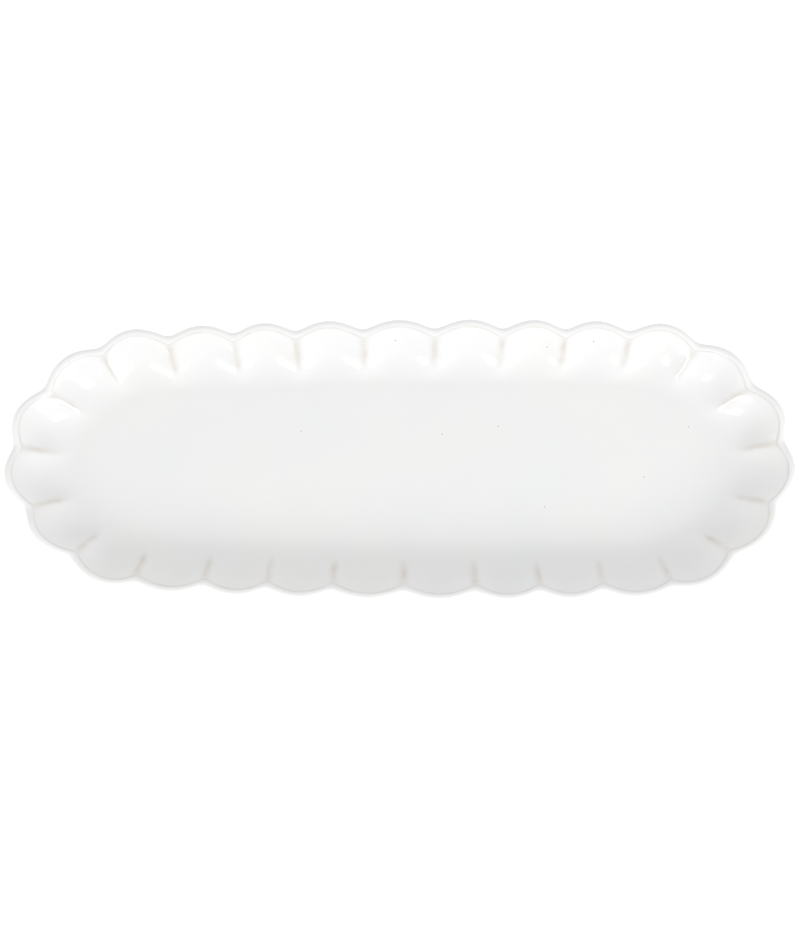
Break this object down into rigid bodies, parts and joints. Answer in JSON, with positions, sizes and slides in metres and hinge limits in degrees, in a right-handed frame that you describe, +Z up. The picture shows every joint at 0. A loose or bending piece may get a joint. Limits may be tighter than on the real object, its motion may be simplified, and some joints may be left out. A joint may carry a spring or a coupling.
{
  "type": "serving platter",
  "caption": "Scalloped oblong serving platter in white glazed ceramic, a shallow dish with fluted flaring walls, a rounded lip and a low bare foot ring.",
  "frame": {"origin": "under the middle of the platter, on the plane that the foot ring stands on", "axes": "+X along the platter's length, towards its slightly wider end; +Y across it; +Z up out of the dish"},
  "size_m": [0.3798, 0.1372, 0.024],
  "materials": {
    "fired_clay": "bare fired stoneware, fine and slightly gritty",
    "white_glaze": "glossy off-white glaze, thinner and warmer on the ridges and the lip"
  },
  "bodies": {
    "root": {"clay_body": "fired_clay", "glaze_coat": "white_glaze", "underside_glaze": "white_glaze"}
  },
  "joints": []
}
